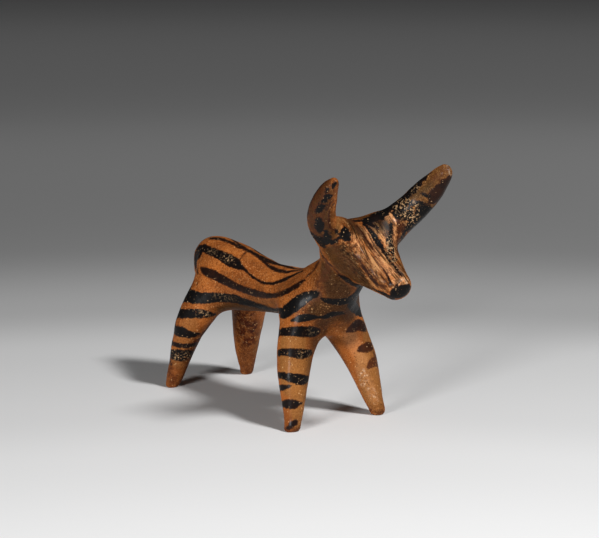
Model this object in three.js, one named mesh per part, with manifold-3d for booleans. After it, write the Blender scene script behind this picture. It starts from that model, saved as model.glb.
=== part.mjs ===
// A small terracotta bull, modelled by hand in one piece of clay: a slim body on four tapered legs,
// a tail pressed onto the rump, a long face and two horns that sweep outwards and forwards.
// Millimetres, +Z up. +X is the way the bull faces and +Y is its left. The origin is on the floor,
// at the middle of the figurine's box.
import * as THREE from "three";
import { mergeVertices } from "three/addons/utils/BufferGeometryUtils.js";
import Module from "manifold-3d";

// Driving dimensions
const WHEELBASE = 65; // hind soles to fore soles
const FORE_TRACK = 31.8; // between the middles of the fore soles
const HIND_TRACK = 28.7;
const BOX_MIDDLE_X = 13.06; // from halfway between the soles to the middle of the box
const NET_CELL = 1.8; // spacing of the surface net, which sets how fine the facets are
const LIMB_STEP = 1.6; // spacing of the sections along a limb
const NEAR_FLOOR = 0.4; // points this near the floor go onto it, so that the soles are cut cleanly
const SLIVER = 0.03; // and the cut solid loses edges shorter than about this

// One section of a limb: where its middle is, its half width across and its half depth.
const section = (x, y, z, across, deep) => ({ at: new THREE.Vector3(x, y, z), across, deep });

// A limb of clay: an oval section drawn along a smooth line through its sections. "side" is the
// direction that the half width is measured in, and "blend" the width of the fillet it gets.
class Limb {
  constructor(sections, side, blend) {
    const curve = new THREE.CatmullRomCurve3(sections.map((s) => s.at), false, "centripetal");
    const steps = Math.max(4, Math.ceil(curve.getLength() / LIMB_STEP));
    const span = sections.length - 1;
    this.blend = blend;
    this.rings = [];
    for (let i = 0; i <= steps; i++) {
      const along = (i / steps) * span;
      const k = Math.min(Math.floor(along), span - 1);
      const share = along - k;
      const mix = (name) => {
        const [a, b, c, d] = [k - 1, k, k + 1, k + 2].map(
          (n) => sections[THREE.MathUtils.clamp(n, 0, span)][name],
        );
        return hermite(a, b, c, d, share);
      };
      this.rings.push({ at: curve.getPoint(i / steps), across: mix("across"), deep: mix("deep") });
    }
    this.spans = this.rings.slice(1).map((end, i) => this.spanBetween(this.rings[i], end, side));
    this.middle = curve.getPoint(0.5);
    this.reach = Math.max(...this.spans.map((s) => s.middle.distanceTo(this.middle) + s.reach));
  }

  spanBetween(start, end, side) {
    const along = end.at.clone().sub(start.at);
    const length = along.length();
    const axis = along.divideScalar(length);
    const across = side.clone().addScaledVector(axis, -side.dot(axis)).normalize();
    const middle = start.at.clone().lerp(end.at, 0.5);
    const reach = length / 2 + Math.max(start.across, start.deep, end.across, end.deep);
    return { start, end, length, axis, across, deep: axis.clone().cross(across), middle, reach };
  }

  // About the distance from a point to the limb's skin, negative inside.
  distance(p) {
    let least = Infinity;
    for (const s of this.spans) {
      if (p.distanceTo(s.middle) - s.reach > least) continue;
      const rx = p.x - s.start.at.x;
      const ry = p.y - s.start.at.y;
      const rz = p.z - s.start.at.z;
      const run = rx * s.axis.x + ry * s.axis.y + rz * s.axis.z;
      const share = Math.min(1, Math.max(0, run / s.length));
      const w = run - share * s.length;
      const u = rx * s.across.x + ry * s.across.y + rz * s.across.z;
      const v = rx * s.deep.x + ry * s.deep.y + rz * s.deep.z;
      const a = s.start.across + share * (s.end.across - s.start.across);
      const b = s.start.deep + share * (s.end.deep - s.start.deep);
      const c = Math.min(a, b);
      const inside = Math.hypot(u / a, v / b, w / c);
      const slope = Math.hypot(u / a / a, v / b / b, w / c / c);
      const d = slope > 1e-9 ? (inside * (inside - 1)) / slope : -c;
      if (d < least) least = d;
    }
    return least;
  }
}

// A smooth value between b and c, with a and d the values before and after them.
function hermite(a, b, c, d, t) {
  const startSlope = (c - a) / 2;
  const endSlope = (d - b) / 2;
  const t2 = t * t;
  const t3 = t2 * t;
  const level = (2 * t3 - 3 * t2 + 1) * b + (3 * t2 - 2 * t3) * c;
  return level + (t3 - 2 * t2 + t) * startSlope + (t3 - t2) * endSlope;
}

const ACROSS = new THREE.Vector3(0, 1, 0);
const foreX = WHEELBASE / 2;
const hindX = -WHEELBASE / 2;

function torso() {
  return new Limb(
    [
      section(-27.2, 0, 38.6, 7, 7.8),
      section(-23, 0, 37.4, 8.5, 9.5),
      section(-17, 0, 36.1, 9, 10.2),
      section(-8, 0, 35.7, 8.6, 8.8),
      section(2, 0, 35.6, 8, 7.45),
      section(12, 0, 36, 8.4, 7.35),
      section(21, 0, 36.2, 9, 7.6),
      section(26, 0, 37, 8.5, 8),
    ],
    ACROSS,
    4,
  );
}

function tail() {
  return new Limb(
    [
      section(-26, 0, 43.9, 3, 3),
      section(-31.4, -0.5, 43.4, 3, 3),
      section(-34.8, -1, 40.2, 2.8, 2.8),
      section(-35, -1.5, 35.6, 2.2, 2.2),
    ],
    ACROSS,
    2.5,
  );
}

function neck() {
  return new Limb(
    [section(23, 0, 35.5, 8, 8), section(30, 0, 40.6, 7.8, 8), section(38, 0, 48.8, 7.4, 7.2)],
    ACROSS,
    6,
  );
}

function head() {
  return new Limb(
    [
      section(38.5, 0, 52.6, 7.4, 7.2),
      section(44, 0, 51.4, 7.6, 7.3),
      section(51, 0, 48.8, 5.9, 5.8),
      section(57, 0, 46.4, 4.5, 4.4),
      section(59.8, 0, 45.5, 3.9, 4),
    ],
    ACROSS,
    3,
  );
}

// The edge between the flat front of the face and its side. In a limb that comes in pairs, side is -1
// for the right one and 1 for the left.
function brow(side) {
  return new Limb(
    [
      section(43.5, side * 7.2, 57.4, 3.2, 3.2),
      section(48, side * 5.7, 55, 2.8, 2.8),
      section(53, side * 4.3, 50.7, 2.5, 2.5),
      section(57.2, side * 2.8, 47.6, 2.1, 2.1),
      section(59.8, side * 1.6, 45.9, 1.9, 1.9),
    ],
    ACROSS,
    3,
  );
}

function horn(side) {
  return new Limb(
    [
      section(41, side * 4.5, 55.6, 5.6, 5.6),
      section(42.6, side * 7.6, 57.7, 5.5, 5.3),
      section(44, side * 11.2, 59.5, 4.9, 4.6),
      section(45.9, side * 15.2, 62.9, 4.3, 4.2),
      section(48.5, side * 17.8, 66.7, 3.95, 3.95),
      section(52, side * 19.3, 70.9, 3.4, 3.3),
      section(55, side * 19.9, 74.2, 2.7, 2.7),
      section(56.8, side * 20, 75.9, 2, 2),
    ],
    new THREE.Vector3(0.5, 0, -1),
    6,
  );
}

function foreLeg(side) {
  const y = (side * FORE_TRACK) / 2;
  return new Limb(
    [
      section(foreX - 0.1, y, 1.5, 2.35, 2.35),
      section(foreX - 0.8, y * 0.95, 4.5, 2.8, 2.8),
      section(foreX - 2.2, y * 0.88, 10, 3.75, 3.75),
      section(foreX - 4, y * 0.79, 16.5, 4.75, 4.75),
      section(foreX - 5.7, y * 0.67, 22, 5.4, 5.4),
      section(foreX - 6.7, y * 0.52, 27, 6.1, 6.1),
      section(foreX - 8.2, y * 0.38, 34, 6.2, 6.6),
    ],
    ACROSS,
    5,
  );
}

// The left hind leg is a little stouter than the right one.
function hindLeg(side) {
  const y = (side * HIND_TRACK) / 2;
  const stout = side * 0.25;
  return new Limb(
    [
      section(hindX - 0.1, y, 1.3, 2.1, 2.1),
      section(hindX + 0.7, y * 0.96, 4, 2.6, 2.6),
      section(hindX + 1.7, y * 0.9, 8.6, 3.35 + stout, 3.35 + stout),
      section(hindX + 3.3, y * 0.84, 14.4, 4.15 + stout, 4.15 + stout),
      section(hindX + 5.5, y * 0.77, 20, 4.85 + stout, 5 + stout),
      section(hindX + 8.7, y * 0.61, 27, 5.5 + stout, 6.2),
      section(hindX + 11.2, y * 0.34, 34, 5.6, 6.6),
    ],
    ACROSS,
    5,
  );
}

// The whole skin, as one smooth field: limbs that meet run together in a fillet.
const pairs = [brow, horn, foreLeg, hindLeg].flatMap((limb) => [limb(-1), limb(1)]);
const limbs = [torso(), neck(), head(), tail(), ...pairs];

function clay(p) {
  let d = Infinity;
  for (const limb of limbs) {
    if (p.distanceTo(limb.middle) - limb.reach > d + limb.blend) continue;
    const other = limb.distance(p);
    const near = Math.max(limb.blend - Math.abs(d - other), 0) / limb.blend;
    d = Math.min(d, other) - (near * near * limb.blend) / 4;
  }
  return d;
}

// The direction in which the field grows, and its steepness.
function slopeAt(p, target) {
  const e = 0.05;
  const q = p.clone();
  const along = (axis) => {
    q.copy(p);
    q[axis] += e;
    const high = clay(q);
    q[axis] -= 2 * e;
    return (high - clay(q)) / (2 * e);
  };
  return target.set(along("x"), along("y"), along("z"));
}

// Moves a point along the slope until it lies on the skin.
function ontoSkin(p) {
  const slope = new THREE.Vector3();
  for (let i = 0; i < 4; i++) {
    slopeAt(p, slope);
    const step = THREE.MathUtils.clamp(clay(p) / Math.max(slope.lengthSq(), 0.05), -1, 1);
    p.addScaledVector(slope, -step);
  }
}

// Where the four corners of a grid square lie in and out by turns, the net would be pinched, so the
// corner nearest the skin changes side.
function settle(value, [nx, ny, nz]) {
  const steps = [1, nx, nx * ny];
  const pairs = [[0, 1], [1, 2], [0, 2]];
  let pinched = true;
  while (pinched) {
    pinched = false;
    for (let n = 0; n < nx * ny * (nz - 1) - nx - 1; n++)
      for (const [p, q] of pairs) {
        const square = [n, n + steps[p], n + steps[p] + steps[q], n + steps[q]];
        const [a, b, c, d] = square.map((m) => value[m] < 0);
        if (a === b || a !== c || b !== d) continue;
        const faintest = square.reduce((m, o) => (Math.abs(value[o]) < Math.abs(value[m]) ? o : m));
        value[faintest] *= -1;
        pinched = true;
      }
  }
}

// A surface net: one vertex in each cell that the skin crosses, one quad for each crossed edge.
function surfaceNet(box, cell) {
  const size = box.getSize(new THREE.Vector3());
  const counts = [size.x, size.y, size.z].map((s) => Math.ceil(s / cell) + 1);
  const [nx, ny, nz] = counts;
  const index = (i, j, k) => (k * ny + j) * nx + i;
  const corner = (i, j, k) => new THREE.Vector3(i, j, k).multiplyScalar(cell).add(box.min);
  const value = new Float32Array(nx * ny * nz);
  for (let k = 0; k < nz; k++)
    for (let j = 0; j < ny; j++)
      for (let i = 0; i < nx; i++) value[index(i, j, k)] = clay(corner(i, j, k));
  settle(value, counts);

  const points = [];
  const pointOf = new Int32Array(value.length).fill(-1);
  const bits = [0, 1];
  for (let k = 0; k < nz - 1; k++)
    for (let j = 0; j < ny - 1; j++)
      for (let i = 0; i < nx - 1; i++) {
        const middle = new THREE.Vector3();
        let crossings = 0;
        const cross = (a, b) => {
          const va = value[index(...a)];
          const vb = value[index(...b)];
          if (va < 0 === vb < 0) return;
          middle.add(corner(...a).lerp(corner(...b), va / (va - vb)));
          crossings++;
        };
        for (const a of bits)
          for (const b of bits) {
            cross([i, j + a, k + b], [i + 1, j + a, k + b]);
            cross([i + a, j, k + b], [i + a, j + 1, k + b]);
            cross([i + a, j + b, k], [i + a, j + b, k + 1]);
          }
        if (!crossings) continue;
        pointOf[index(i, j, k)] = points.length;
        points.push(middle.divideScalar(crossings));
      }

  const faces = [];
  const quad = (a, b, c, d, flip) => {
    const ring = flip ? [d, c, b, a] : [a, b, c, d];
    const [p, q, r, s] = ring.map((n) => points[n]);
    const first = p.distanceTo(r) < q.distanceTo(s) ? 0 : 1;
    const turn = (n) => ring[(first + n) % 4];
    faces.push([turn(0), turn(1), turn(2)], [turn(0), turn(2), turn(3)]);
  };
  for (let k = 1; k < nz - 1; k++)
    for (let j = 1; j < ny - 1; j++)
      for (let i = 1; i < nx - 1; i++) {
        const inside = value[index(i, j, k)] < 0;
        const cellAt = (di, dj, dk) => pointOf[index(i + di, j + dj, k + dk)];
        if (inside !== value[index(i + 1, j, k)] < 0)
          quad(cellAt(0, -1, -1), cellAt(0, 0, -1), cellAt(0, 0, 0), cellAt(0, -1, 0), !inside);
        if (inside !== value[index(i, j + 1, k)] < 0)
          quad(cellAt(-1, 0, -1), cellAt(-1, 0, 0), cellAt(0, 0, 0), cellAt(0, 0, -1), !inside);
        if (inside !== value[index(i, j, k + 1)] < 0)
          quad(cellAt(-1, -1, 0), cellAt(0, -1, 0), cellAt(0, 0, 0), cellAt(-1, 0, 0), !inside);
      }
  return { points, faces };
}

// Evens out the triangles: each point moves to the middle of its neighbours, then back onto the skin.
function relax({ points, faces }, rounds) {
  const neighbours = points.map(() => new Set());
  for (const face of faces)
    face.forEach((a, n) => {
      neighbours[a].add(face[(n + 1) % 3]);
      neighbours[a].add(face[(n + 2) % 3]);
    });
  for (let round = 0; round < rounds; round++) {
    const moved = points.map((p, n) => {
      const middle = new THREE.Vector3();
      for (const m of neighbours[n]) middle.add(points[m]);
      return p.clone().lerp(middle.divideScalar(neighbours[n].size), 0.6);
    });
    moved.forEach((p, n) => {
      ontoSkin(p);
      points[n].copy(p);
    });
  }
}

const wasm = await Module();
wasm.setup();

function solidOf(geometry) {
  const bare = new THREE.BufferGeometry().setAttribute("position", geometry.getAttribute("position"));
  bare.setIndex(geometry.index);
  const merged = mergeVertices(bare, 1e-4);
  return new wasm.Manifold(
    new wasm.Mesh({
      numProp: 3,
      vertProperties: new Float32Array(merged.attributes.position.array),
      triVerts: new Uint32Array(merged.index.array),
    }),
  );
}

function geometryOf(solid) {
  const mesh = solid.getMesh();
  const places = new Float32Array(mesh.numVert * 3);
  for (let i = 0; i < mesh.numVert; i++)
    places.set(mesh.vertProperties.subarray(i * mesh.numProp, i * mesh.numProp + 3), i * 3);
  const geometry = new THREE.BufferGeometry();
  geometry.setAttribute("position", new THREE.BufferAttribute(places, 3));
  geometry.setIndex(new THREE.BufferAttribute(new Uint32Array(mesh.triVerts), 1));
  geometry.computeVertexNormals();
  return geometry;
}

function bullGeometry() {
  const box = new THREE.Box3(new THREE.Vector3(-44.3, -28.4, -5.2), new THREE.Vector3(68, 28, 82));
  const net = surfaceNet(box, NET_CELL);
  relax(net, 4);
  for (const p of net.points) if (Math.abs(p.z) < NEAR_FLOOR) p.z = 0;
  const skin = new THREE.BufferGeometry();
  const places = net.points.flatMap((p) => p.toArray());
  skin.setAttribute("position", new THREE.Float32BufferAttribute(places, 3));
  skin.setIndex(net.faces.flat());
  const floorBlock = new THREE.BoxGeometry(200, 100, 20).translate(0, 0, -10);
  return geometryOf(solidOf(skin).subtract(solidOf(floorBlock)).simplify(SLIVER));
}

const clayColour = new THREE.MeshStandardMaterial({
  name: "terracotta",
  color: 0xb9733c,
  roughness: 0.6,
  metalness: 0,
});

const bull = new THREE.Mesh(bullGeometry(), clayColour);
bull.name = "bull";
bull.position.x = -BOX_MIDDLE_X;

const figurine = new THREE.Group();
figurine.name = "terracotta_bull";
figurine.add(bull);

export default figurine;
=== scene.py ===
# %% [markdown]
# A small bull of fired clay, about ten centimetres long, rolled and pinched by hand out of one lump and
# painted with stripes of dark slip. This file dresses the plain solid that stands for it: a finer skin,
# the marks of the hand, the stripes and the worn, faintly glossy surface, then the floor and the lamps.

# %% Load the plain solid
import math

import bmesh
import bpy
import numpy as np
from mathutils import Matrix, Vector, noise
from mathutils.bvhtree import BVHTree


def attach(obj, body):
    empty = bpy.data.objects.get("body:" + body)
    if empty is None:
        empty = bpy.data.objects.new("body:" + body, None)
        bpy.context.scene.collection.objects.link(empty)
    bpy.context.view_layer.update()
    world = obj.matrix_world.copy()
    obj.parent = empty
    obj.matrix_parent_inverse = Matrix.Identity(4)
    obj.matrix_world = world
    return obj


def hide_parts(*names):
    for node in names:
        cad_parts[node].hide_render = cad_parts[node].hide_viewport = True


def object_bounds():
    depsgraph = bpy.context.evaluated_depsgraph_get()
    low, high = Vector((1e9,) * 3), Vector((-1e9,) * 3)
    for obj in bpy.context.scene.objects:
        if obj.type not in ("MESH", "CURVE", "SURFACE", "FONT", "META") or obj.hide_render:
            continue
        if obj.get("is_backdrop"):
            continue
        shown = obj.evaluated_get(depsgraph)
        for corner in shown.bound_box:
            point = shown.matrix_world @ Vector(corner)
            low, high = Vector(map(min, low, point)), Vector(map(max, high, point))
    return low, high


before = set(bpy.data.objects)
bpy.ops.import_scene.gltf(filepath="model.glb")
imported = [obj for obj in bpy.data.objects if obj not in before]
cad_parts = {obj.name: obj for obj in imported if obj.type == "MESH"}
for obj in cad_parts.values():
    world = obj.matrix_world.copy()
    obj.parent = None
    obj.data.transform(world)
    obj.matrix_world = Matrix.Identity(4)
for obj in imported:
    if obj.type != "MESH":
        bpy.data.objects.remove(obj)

cad_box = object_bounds()
print("solid:", [round((high - low) * 1000, 1) for low, high in zip(*cad_box)], "mm")

# %% [markdown]
# The camera comes first, because the stripes are laid on through it. A long lens a good half metre away
# keeps the small figure free of strong perspective. It stands at the bull's right front, a little above
# it, and looks slightly down.

# %% Camera
MM = 0.001
scene = bpy.context.scene
PHOTO_WIDTH, PHOTO_HEIGHT = 599, 538
FOCAL_PX = 2120.5
SENSOR_MM = 36.0
CAMERA_AZIMUTH = math.radians(52.98)
CAMERA_ELEVATION = math.radians(10.968)
CAMERA_DISTANCE = 650 * MM
AIM = Vector((-12.34, 10.58, 40)) * MM
PX_PER_MM = FOCAL_PX / (CAMERA_DISTANCE / MM)


def placed(name, data):
    """A new object in the scene."""
    made = bpy.data.objects.new(name, data)
    scene.collection.objects.link(made)
    return made


def direction(azimuth, elevation):
    """The unit vector that points from the bull towards something at that azimuth and elevation."""
    flat = math.cos(elevation)
    return Vector((math.sin(azimuth) * flat, -math.cos(azimuth) * flat, math.sin(elevation)))


BACK = direction(CAMERA_AZIMUTH, CAMERA_ELEVATION)
RIGHT = Vector((0, 0, 1)).cross(BACK).normalized()
UP = BACK.cross(RIGHT)
EYE = AIM + BACK * CAMERA_DISTANCE

lens = bpy.data.cameras.new("camera")
lens.sensor_width = SENSOR_MM
lens.lens = FOCAL_PX / PHOTO_WIDTH * SENSOR_MM
camera = placed("camera", lens)
camera.matrix_world = Matrix.Translation(EYE) @ Matrix((RIGHT, UP, BACK)).transposed().to_4x4()
scene.camera = camera
scene.view_settings.view_transform = "Standard"
print("camera:", [round(c, 4) for c in EYE], "lens", round(lens.lens, 2), "mm")

# %% [markdown]
# The real bull is one piece of clay with no joins, so the skin is one closed mesh. It could be sculpted
# anew, but the solid already has the right outline from every side, so a copy of it is cut finer twice,
# along smooth curves, and evened out after each cut. The flat soles stay on the floor.

# %% A finer skin
SKIN_CUTS = 2
EVENING = 0.5
FLOOR_TOUCH = 0.02 * MM
SAME_POINT = 0.001 * MM


def finer_skin(node):
    """A copy of the solid's mesh with each triangle cut into sixteen along smooth curves."""
    skin = bmesh.new()
    skin.from_mesh(node.data)
    bmesh.ops.remove_doubles(skin, verts=skin.verts[:], dist=SAME_POINT)
    for _ in range(SKIN_CUTS):
        skin.normal_update()
        bmesh.ops.subdivide_edges(skin, edges=skin.edges[:], cuts=1, use_grid_fill=True, smooth=1.0)
        soles = [v for v in skin.verts if v.co.z < FLOOR_TOUCH]
        bmesh.ops.smooth_vert(
            skin, verts=skin.verts[:], factor=EVENING, use_axis_x=True, use_axis_y=True, use_axis_z=True
        )
        for v in soles:
            v.co.z = 0
    bmesh.ops.triangulate(skin, faces=skin.faces[:])
    mesh = bpy.data.meshes.new("bull_skin")
    skin.to_mesh(mesh)
    skin.free()
    return mesh


bull = placed("bull_skin", finer_skin(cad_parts["bull"]))
print("skin:", len(bull.data.vertices), "points,", len(bull.data.polygons), "triangles")

# %% [markdown]
# Trees of nodes, for shapes as for materials, are mostly sums, so they are written as sums: a small
# class wraps one socket, and adding or multiplying two of them adds the Math node.

# %% Node arithmetic
class Wire:
    """One socket of a node tree; arithmetic on it adds Math nodes."""

    def __init__(self, tree, socket=None):
        self.tree, self.socket = tree, socket

    def node(self, kind, sockets=None, settings=None, out=0):
        """Adds a node of any kind: its settings first, then the values and links of its sockets."""
        made = self.tree.nodes.new(kind)
        for name, value in (settings or {}).items():
            setattr(made, name, value)
        for name, value in (sockets or {}).items():
            if isinstance(value, Wire):
                self.tree.links.new(value.socket, made.inputs[name])
            else:
                made.inputs[name].default_value = value
        return Wire(self.tree, made.outputs[out]) if made.outputs else made

    def maths(self, operation, *values):
        return self.node("ShaderNodeMath", dict(enumerate(values)), {"operation": operation})

    def __add__(self, other):
        return self.maths("ADD", self, other)

    def __sub__(self, other):
        return self.maths("SUBTRACT", self, other)

    def __rsub__(self, other):
        return self.maths("SUBTRACT", other, self)

    def __mul__(self, other):
        return self.maths("MULTIPLY", self, other)

    __radd__ = __add__
    __rmul__ = __mul__

    def scaled(self, factor):
        return self.node("ShaderNodeVectorMath", {0: self, "Scale": factor}, {"operation": "SCALE"})

    def distance(self, other):
        sockets, settings = {0: self, 1: other}, {"operation": "DISTANCE"}
        return self.node("ShaderNodeVectorMath", sockets, settings, out="Value")

    def step(self, low, high):
        """Zero below low, one above high, and a smooth rise between."""
        sockets = {"Value": self, "From Min": low, "From Max": high}
        return self.node("ShaderNodeMapRange", sockets, {"interpolation_type": "SMOOTHSTEP"})

    def mix(self, base, over, blend="MIX"):
        """One colour laid over another, or multiplied with it, this value being how thickly."""
        settings = {"data_type": "RGBA", "blend_type": blend}
        return self.node("ShaderNodeMix", {0: self, 6: base, 7: over}, settings, out=2)


def new_material(name):
    """An empty material, and a wire that adds nodes to it."""
    material = bpy.data.materials.new(name)
    material.use_nodes = True
    material.node_tree.nodes.clear()
    return material, Wire(material.node_tree)


print("nodes can be added, multiplied and mixed")

# %% [markdown]
# Soft clay keeps the dents of fingertips. They could be carved one at a time, but they are many, small
# and without order, which is work for Geometry Nodes: points are scattered over the skin, every place
# looks up its nearest one, and it sinks by an amount that fades with the distance. Their number to a
# square metre, their size and their depth are inputs of the tree, and the seed is fixed.

# %% Fingertip dents
clay, bench = new_material("fired_clay")
DENT_INPUTS = {
    "Geometry": ("Geometry", None),
    "Density": ("Float", 26000.0),
    "Radius": ("Float", 2.6 * MM),
    "Depth": ("Float", 0.13 * MM),
    "Seed": ("Int", 7),
    "Material": ("Material", clay),
}


def dent_tree():
    """A tree that presses shallow dents into a mesh and hands it a material."""
    tree = bpy.data.node_groups.new("fingertip_dents", "GeometryNodeTree")
    for name, (kind, _) in DENT_INPUTS.items():
        tree.interface.new_socket(name, in_out="INPUT", socket_type="NodeSocket" + kind)
    tree.interface.new_socket("Geometry", in_out="OUTPUT", socket_type="NodeSocketGeometry")
    node = Wire(tree).node
    given = [node("NodeGroupInput", out=name) for name in DENT_INPUTS]
    skin, density, radius, depth, seed, material = given
    sockets = {"Mesh": skin, "Density": density, "Seed": seed}
    scatter = node("GeometryNodeDistributePointsOnFaces", sockets)
    place = node("GeometryNodeInputPosition")
    nearest = node("GeometryNodeSampleNearest", {"Geometry": scatter})

    def of_nearest(kind, value):
        sockets = {"Geometry": scatter, "Value": value, "Index": nearest}
        return node("GeometryNodeSampleIndex", sockets, {"data_type": kind})

    chance = node("FunctionNodeRandomValue", {"Seed": seed}, {"data_type": "FLOAT"}, out=1)
    middle = of_nearest("FLOAT_VECTOR", place)
    near_it = 1 - place.distance(middle).step(0.0, radius)
    sink = of_nearest("FLOAT", chance) * depth * near_it
    offset = node("GeometryNodeInputNormal").scaled(sink * -1.0)
    pressed = node("GeometryNodeSetPosition", {"Geometry": skin, "Offset": offset})
    whole = node("GeometryNodeRealizeInstances", {"Geometry": pressed})
    dressed = node("GeometryNodeSetMaterial", {"Geometry": whole, "Material": material})
    node("NodeGroupOutput", {"Geometry": dressed})
    return tree


dents = bull.modifiers.new("dents", "NODES")
dents.node_group = dent_tree()
for item in dents.node_group.interface.items_tree:
    if item.in_out == "INPUT" and item.name != "Geometry":
        dents[item.identifier] = DENT_INPUTS[item.name][1]
bpy.context.view_layer.update()
ready = bpy.context.evaluated_depsgraph_get()
dented = bpy.data.meshes.new_from_object(bull.evaluated_get(ready), depsgraph=ready)
bull.modifiers.clear()
bull.data = dented
print("dented skin:", len(dented.vertices), "points, material", dented.materials[0].name)

# %% [markdown]
# The rest of the relief belongs to one place each, such as the crease of the jaw. Such places are read
# off the picture in pixels and cast through the camera on to the skin, so that a mark sits where the
# real one does. A ray that just misses the outline takes the nearest skin instead.

# %% From the picture on to the skin
SLIDES = 6
CURVE_PIECES = 4
TINY = 1e-9


def measured(mesh):
    """The mesh's points in millimetres, its normals, and a search tree over it."""
    places = np.empty(len(mesh.vertices) * 3)
    mesh.vertices.foreach_get("co", places)
    places = places.reshape(-1, 3) / MM
    normals = np.array([v.vector for v in mesh.vertex_normals])
    faces = [tuple(p.vertices) for p in mesh.polygons]
    return places, normals, BVHTree.FromPolygons(places.tolist(), faces)


def on_skin(tree, x, y):
    """The place on the skin that shows at a pixel, and the skin's normal there."""
    ray = (RIGHT * (x - PHOTO_WIDTH / 2) + UP * (PHOTO_HEIGHT / 2 - y) - BACK * FOCAL_PX).normalized()
    eye = EYE / MM
    place, normal, _, _ = tree.ray_cast(eye, ray)
    if place is None:
        on_ray = eye + ray * (CAMERA_DISTANCE / MM)
        for _ in range(SLIDES):
            place, normal, _, _ = tree.find_nearest(on_ray)
            on_ray = eye + ray * (place - eye).dot(ray)
    return np.array(place), np.array(normal)


def curve(knots, pieces=CURVE_PIECES):
    """Points along a smooth curve through the knots; all the columns of a knot are blended alike."""
    knots = np.array(knots, float)
    ends = np.vstack([2 * knots[0] - knots[1], knots, 2 * knots[-1] - knots[-2]])
    share = np.linspace(0, 1, pieces, endpoint=False)[:, None]
    runs = [
        b + share * (c - a) / 2 + share**2 * (2 * a - 5 * b + 4 * c - d) / 2
        + share**3 * (3 * b - a - 3 * c + d) / 2
        for a, b, c, d in zip(ends, ends[1:], ends[2:], ends[3:])
    ]
    return np.vstack(runs + [knots[-1:]])


def inside(places, route):
    """How far inside a band each place lies; the last column of the route is the band's half width."""
    best = np.full(len(places), -np.inf)
    for start, end in zip(route, route[1:]):
        along = end[:-1] - start[:-1]
        share = np.clip((places - start[:-1]) @ along / max(along @ along, TINY), 0, 1)
        gap = np.linalg.norm(places - start[:-1] - share[:, None] * along, axis=1)
        best = np.maximum(best, start[-1] + share * (end[-1] - start[-1]) - gap)
    return best


def smooth_step(low, high, values):
    """The rise of Wire.step, for arrays."""
    share = np.clip((values - low) / (high - low), 0, 1)
    return share * share * (3 - 2 * share)


places, normals, tree = measured(dented)
print("the pixel (300, 280) lands at", on_skin(tree, 300, 280)[0].round(1), "mm")

# %% [markdown]
# A press is a crease or a ridge along a route: a radius and a height in millimetres, and the route in
# pixels. As real relief it shows in the outline and catches the light, which a bump in the material
# can't do. A swelling of the whole skin is a size, a height and a place in the noise.

# %% Creases, ridges and lumps
LUMPS = (7.5, 0.16, 3.1)
RIPPLES = (2.4, 0.05, 11.7)
ON_FLOOR = 0.0001
PRESSES = {
    "jaw_crease": (0.8, -0.22, [(339, 276), (346, 279.5), (353, 284), (359, 287)]),
    "groove_by_the_tail": (1.8, -0.2, [(204, 262), (203, 254), (206, 249)]),
    "crack_on_the_back": (0.45, -0.16, [(239, 260), (242, 256), (245, 252)]),
    "near_brow_ridge": (1.3, 0.22, [(352, 236), (360, 247), (367, 260), (374, 272), (380, 281)]),
    "hollow_beside_the_brow": (1.6, -0.2, [(366, 243), (373, 256), (380, 268)]),
    "ear_bump": (2.0, 0.35, [(345, 231), (346, 236)]),
    "snout_rim": (0.7, 0.22, [(396, 283.5), (401, 281.5), (407, 282.5)]),
    "far_tip_facet": (2.4, -0.45, [(440, 177), (446, 170)]),
    "chip_below_far_tip": (1.3, -0.25, [(434, 187), (438, 184)]),
    "near_tip_facet": (1.5, -0.3, [(334, 183), (336, 187)]),
    "near_horn_inner_side": (2.5, -0.7, [(338, 186), (337.4, 195)]),
    "far_horn_lower_side": (
        3.2, 0.95, [(446.6, 179), (443, 185), (437, 195), (429, 205), (417.5, 215)],
    ),
    "far_horn_upper_side": (3.0, 0.55, [(417, 187), (407.5, 196), (395, 206)]),
    "web_between_the_fore_legs": (2.0, 0.9, [(321, 333.5), (325, 333), (328, 333.5)]),
    "back_of_the_haunch": (3.5, 0.6, [(190.5, 295), (185.5, 304), (181.5, 314), (178.5, 324)]),
    "thumb_mark_on_the_shoulder": (3.6, -0.25, [(309, 284), (312, 291)]),
    "thumb_mark_on_the_haunch": (3.2, -0.2, [(215, 288), (222, 292)]),
}


def swellings(size, height, shift):
    """Uneven swellings of the whole skin, about so large and so high."""
    return np.array([noise.noise(Vector(p) / size + Vector((shift, 0, 0))) for p in places]) * height


rise = swellings(*LUMPS) + swellings(*RIPPLES)
for name, (radius, height, pixels) in PRESSES.items():
    route = [np.append(on_skin(tree, x, y)[0], 0) for x, y in pixels]
    rise += height * np.exp(-((inside(places, curve(route)) / radius) ** 2))
on_floor = places[:, 2] < ON_FLOOR
places = places + normals * rise[:, None]
places[:, 2] = np.where(on_floor, 0, np.maximum(places[:, 2], 0))
dented.vertices.foreach_set("co", (places * MM).ravel())
dented.update()
places, normals, tree = measured(dented)
print(len(PRESSES), "presses, from", rise.min().round(2), "to", rise.max().round(2), "mm")

# %% [markdown]
# The stripes were painted in a few quick pulls, thin where the brush lifted, so each is a stroke: a
# route with a width at every knot. An image wrapped round the bull would show the same, but strokes
# stay sharp at any size and can be carried on where the camera can't see. A stroke holds its tone, from
# black to a thin brown at 1, how worn it is, and how ragged its edge is.

# %% The stripes on the body
strokes = {}


def stroke(name, *knots, brown=0.05, worn=0.3, ragged=0.4):
    """One pull of the brush, as (x, y, width) knots in pixels of the picture."""
    strokes[name] = {"knots": knots, "brown": brown, "worn": worn, "ragged": ragged}


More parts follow.
